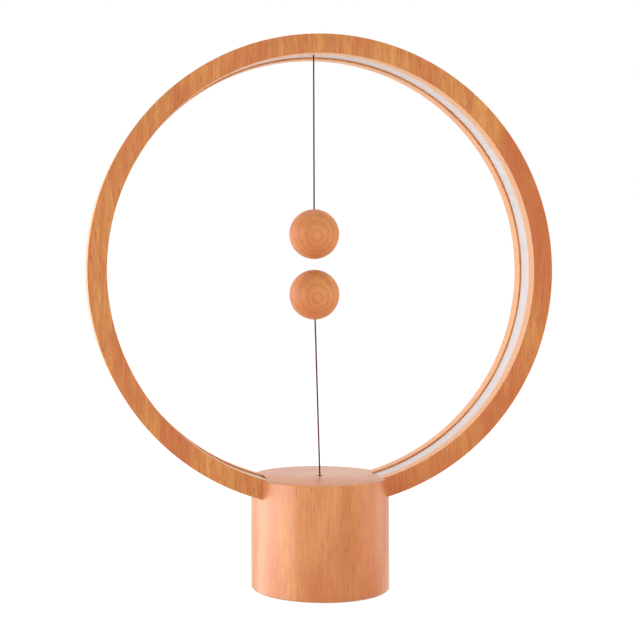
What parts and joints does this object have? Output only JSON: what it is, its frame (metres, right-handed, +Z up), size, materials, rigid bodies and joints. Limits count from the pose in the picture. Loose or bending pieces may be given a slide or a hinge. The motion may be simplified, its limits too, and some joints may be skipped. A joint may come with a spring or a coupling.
{
  "type": "magnetic balance lamp",
  "caption": "Table lamp: an upright flat wooden ring of light in a round wooden base, with two magnet balls on cords that attract each other and work the switch.",
  "frame": {"origin": "on the resting plane, under the middle of the round base", "axes": "+Z up; the ring lies in the XZ plane; -Y is the front"},
  "size_m": [0.34, 0.1006, 0.4022],
  "materials": {
    "base_wood": "turned beech, satin oil",
    "ring_wood": "flat-sawn beech, satin oil",
    "ball_wood": "turned beech, satin oil",
    "plywood": "raw plywood",
    "screw_steel": "bright zinc",
    "zinc_steel": "zinc plated",
    "felt": "pressed felt",
    "weight_iron": "raw casting",
    "tape_white": "white tape",
    "led_phosphor": "yellow phosphor",
    "diffuser_milk": "milky silicone",
    "wire_red": "wire insulation",
    "wire_blue": "wire insulation",
    "board_green": "circuit board",
    "component_black": "moulded",
    "standoff_brass": "turned",
    "inlet_black": "moulded",
    "bush_dark": "moulded",
    "plunger_plastic": "moulded",
    "cord_maroon": "braided",
    "magnet_nickel": "nickel plated"
  },
  "bodies": {
    "lamp": {"base_shell": "base_wood", "base_plate": "plywood", "base_plate_screws": "screw_steel", "foot_pad": "felt", "counterweight": "weight_iron", "counterweight_screws": "screw_steel", "ring_front_half": "ring_wood", "ring_rear_half": "ring_wood", "ring_brackets": "zinc_steel", "ring_bracket_screws": "screw_steel", "ring_top_plug": "ring_wood", "led_strip": "tape_white", "led_chips": "led_phosphor", "diffuser": "diffuser_milk", "led_wires": "wire_red", "control_board": "board_green", "board_components": "component_black", "board_standoffs": "standoff_brass", "board_screws": "screw_steel", "power_inlet": "inlet_black", "inlet_nut": "zinc_steel", "inlet_wires": "wire_red", "cord_bush": "bush_dark", "switch_bracket": "zinc_steel", "switch_bracket_screws": "screw_steel", "switch_body": "component_black", "switch_screws": "screw_steel", "switch_wires": "wire_blue", "lever_pin": "screw_steel", "upper_cord_anchor": "cord_maroon"},
    "upper_cord_pivot": {"upper_cord_bend": "cord_maroon"},
    "upper_ball_on_cord": {"upper_cord": "cord_maroon", "upper_cord_knot": "cord_maroon", "upper_ball": "ball_wood", "upper_magnet": "magnet_nickel", "upper_ball_plug": "ball_wood"},
    "pull_cord": {"lower_cord_tail": "cord_maroon"},
    "lower_cord_pivot": {"lower_cord_bend": "cord_maroon"},
    "lower_cord_stretch": {"lower_cord": "cord_maroon"},
    "lower_ball_on_cord": {"lower_cord_knot": "cord_maroon", "lower_ball": "ball_wood", "lower_magnet": "magnet_nickel", "lower_ball_plug": "ball_wood"},
    "plunger": {"switch_plunger": "plunger_plastic"},
    "lever": {"switch_lever": "zinc_steel"}
  },
  "joints": [
    {"name": "upper_swing_side", "type": "hinge", "parent": "lamp", "child": "upper_cord_pivot", "pos_m": [-0.0036, 0, 0.38884], "axis": [0, 1, 0], "range_deg": [-40, 40]},
    {"name": "upper_swing_fore", "type": "hinge", "parent": "upper_cord_pivot", "child": "upper_ball_on_cord", "pos_m": [-0.0036, 0, 0.38884], "axis": [1, 0, 0], "range_deg": [-40, 40]},
    {"name": "cord_pull", "type": "slide", "parent": "lamp", "child": "pull_cord", "axis": [0, 0, 1], "range_m": [-0.0031, 0]},
    {"name": "lower_lean_side", "type": "hinge", "parent": "lamp", "child": "lower_cord_pivot", "pos_m": [0, 0, 0.08242], "axis": [0, 1, 0], "range_deg": [-15, 15]},
    {"name": "lower_lean_fore", "type": "hinge", "parent": "lower_cord_pivot", "child": "lower_cord_stretch", "pos_m": [0, 0, 0.08242], "axis": [1, 0, 0], "range_deg": [-15, 15]},
    {"name": "ball_drop", "type": "slide", "parent": "lower_cord_stretch", "child": "lower_ball_on_cord", "axis": [-0.0274, 0, 0.9996], "range_m": [-0.109, 0], "deforming": ["lower_cord"]},
    {"name": "lever_tilt", "type": "hinge", "parent": "lamp", "child": "lever", "pos_m": [0.014, 0, 0.0565], "axis": [0, 1, 0], "range_deg": [-12.5, 0]},
    {"name": "plunger_travel", "type": "slide", "parent": "lamp", "child": "plunger", "axis": [0, 0, 1], "range_m": [-0.00064, 0]}
  ],
  "couplings": [
    {"joint": "cord_pull", "follows": "ball_drop", "ratio": 0.027523},
    {"joint": "lever_tilt", "follows": "ball_drop", "rad_per_m": 1.9659},
    {"joint": "plunger_travel", "follows": "ball_drop", "ratio": 0.005688}
  ]
}
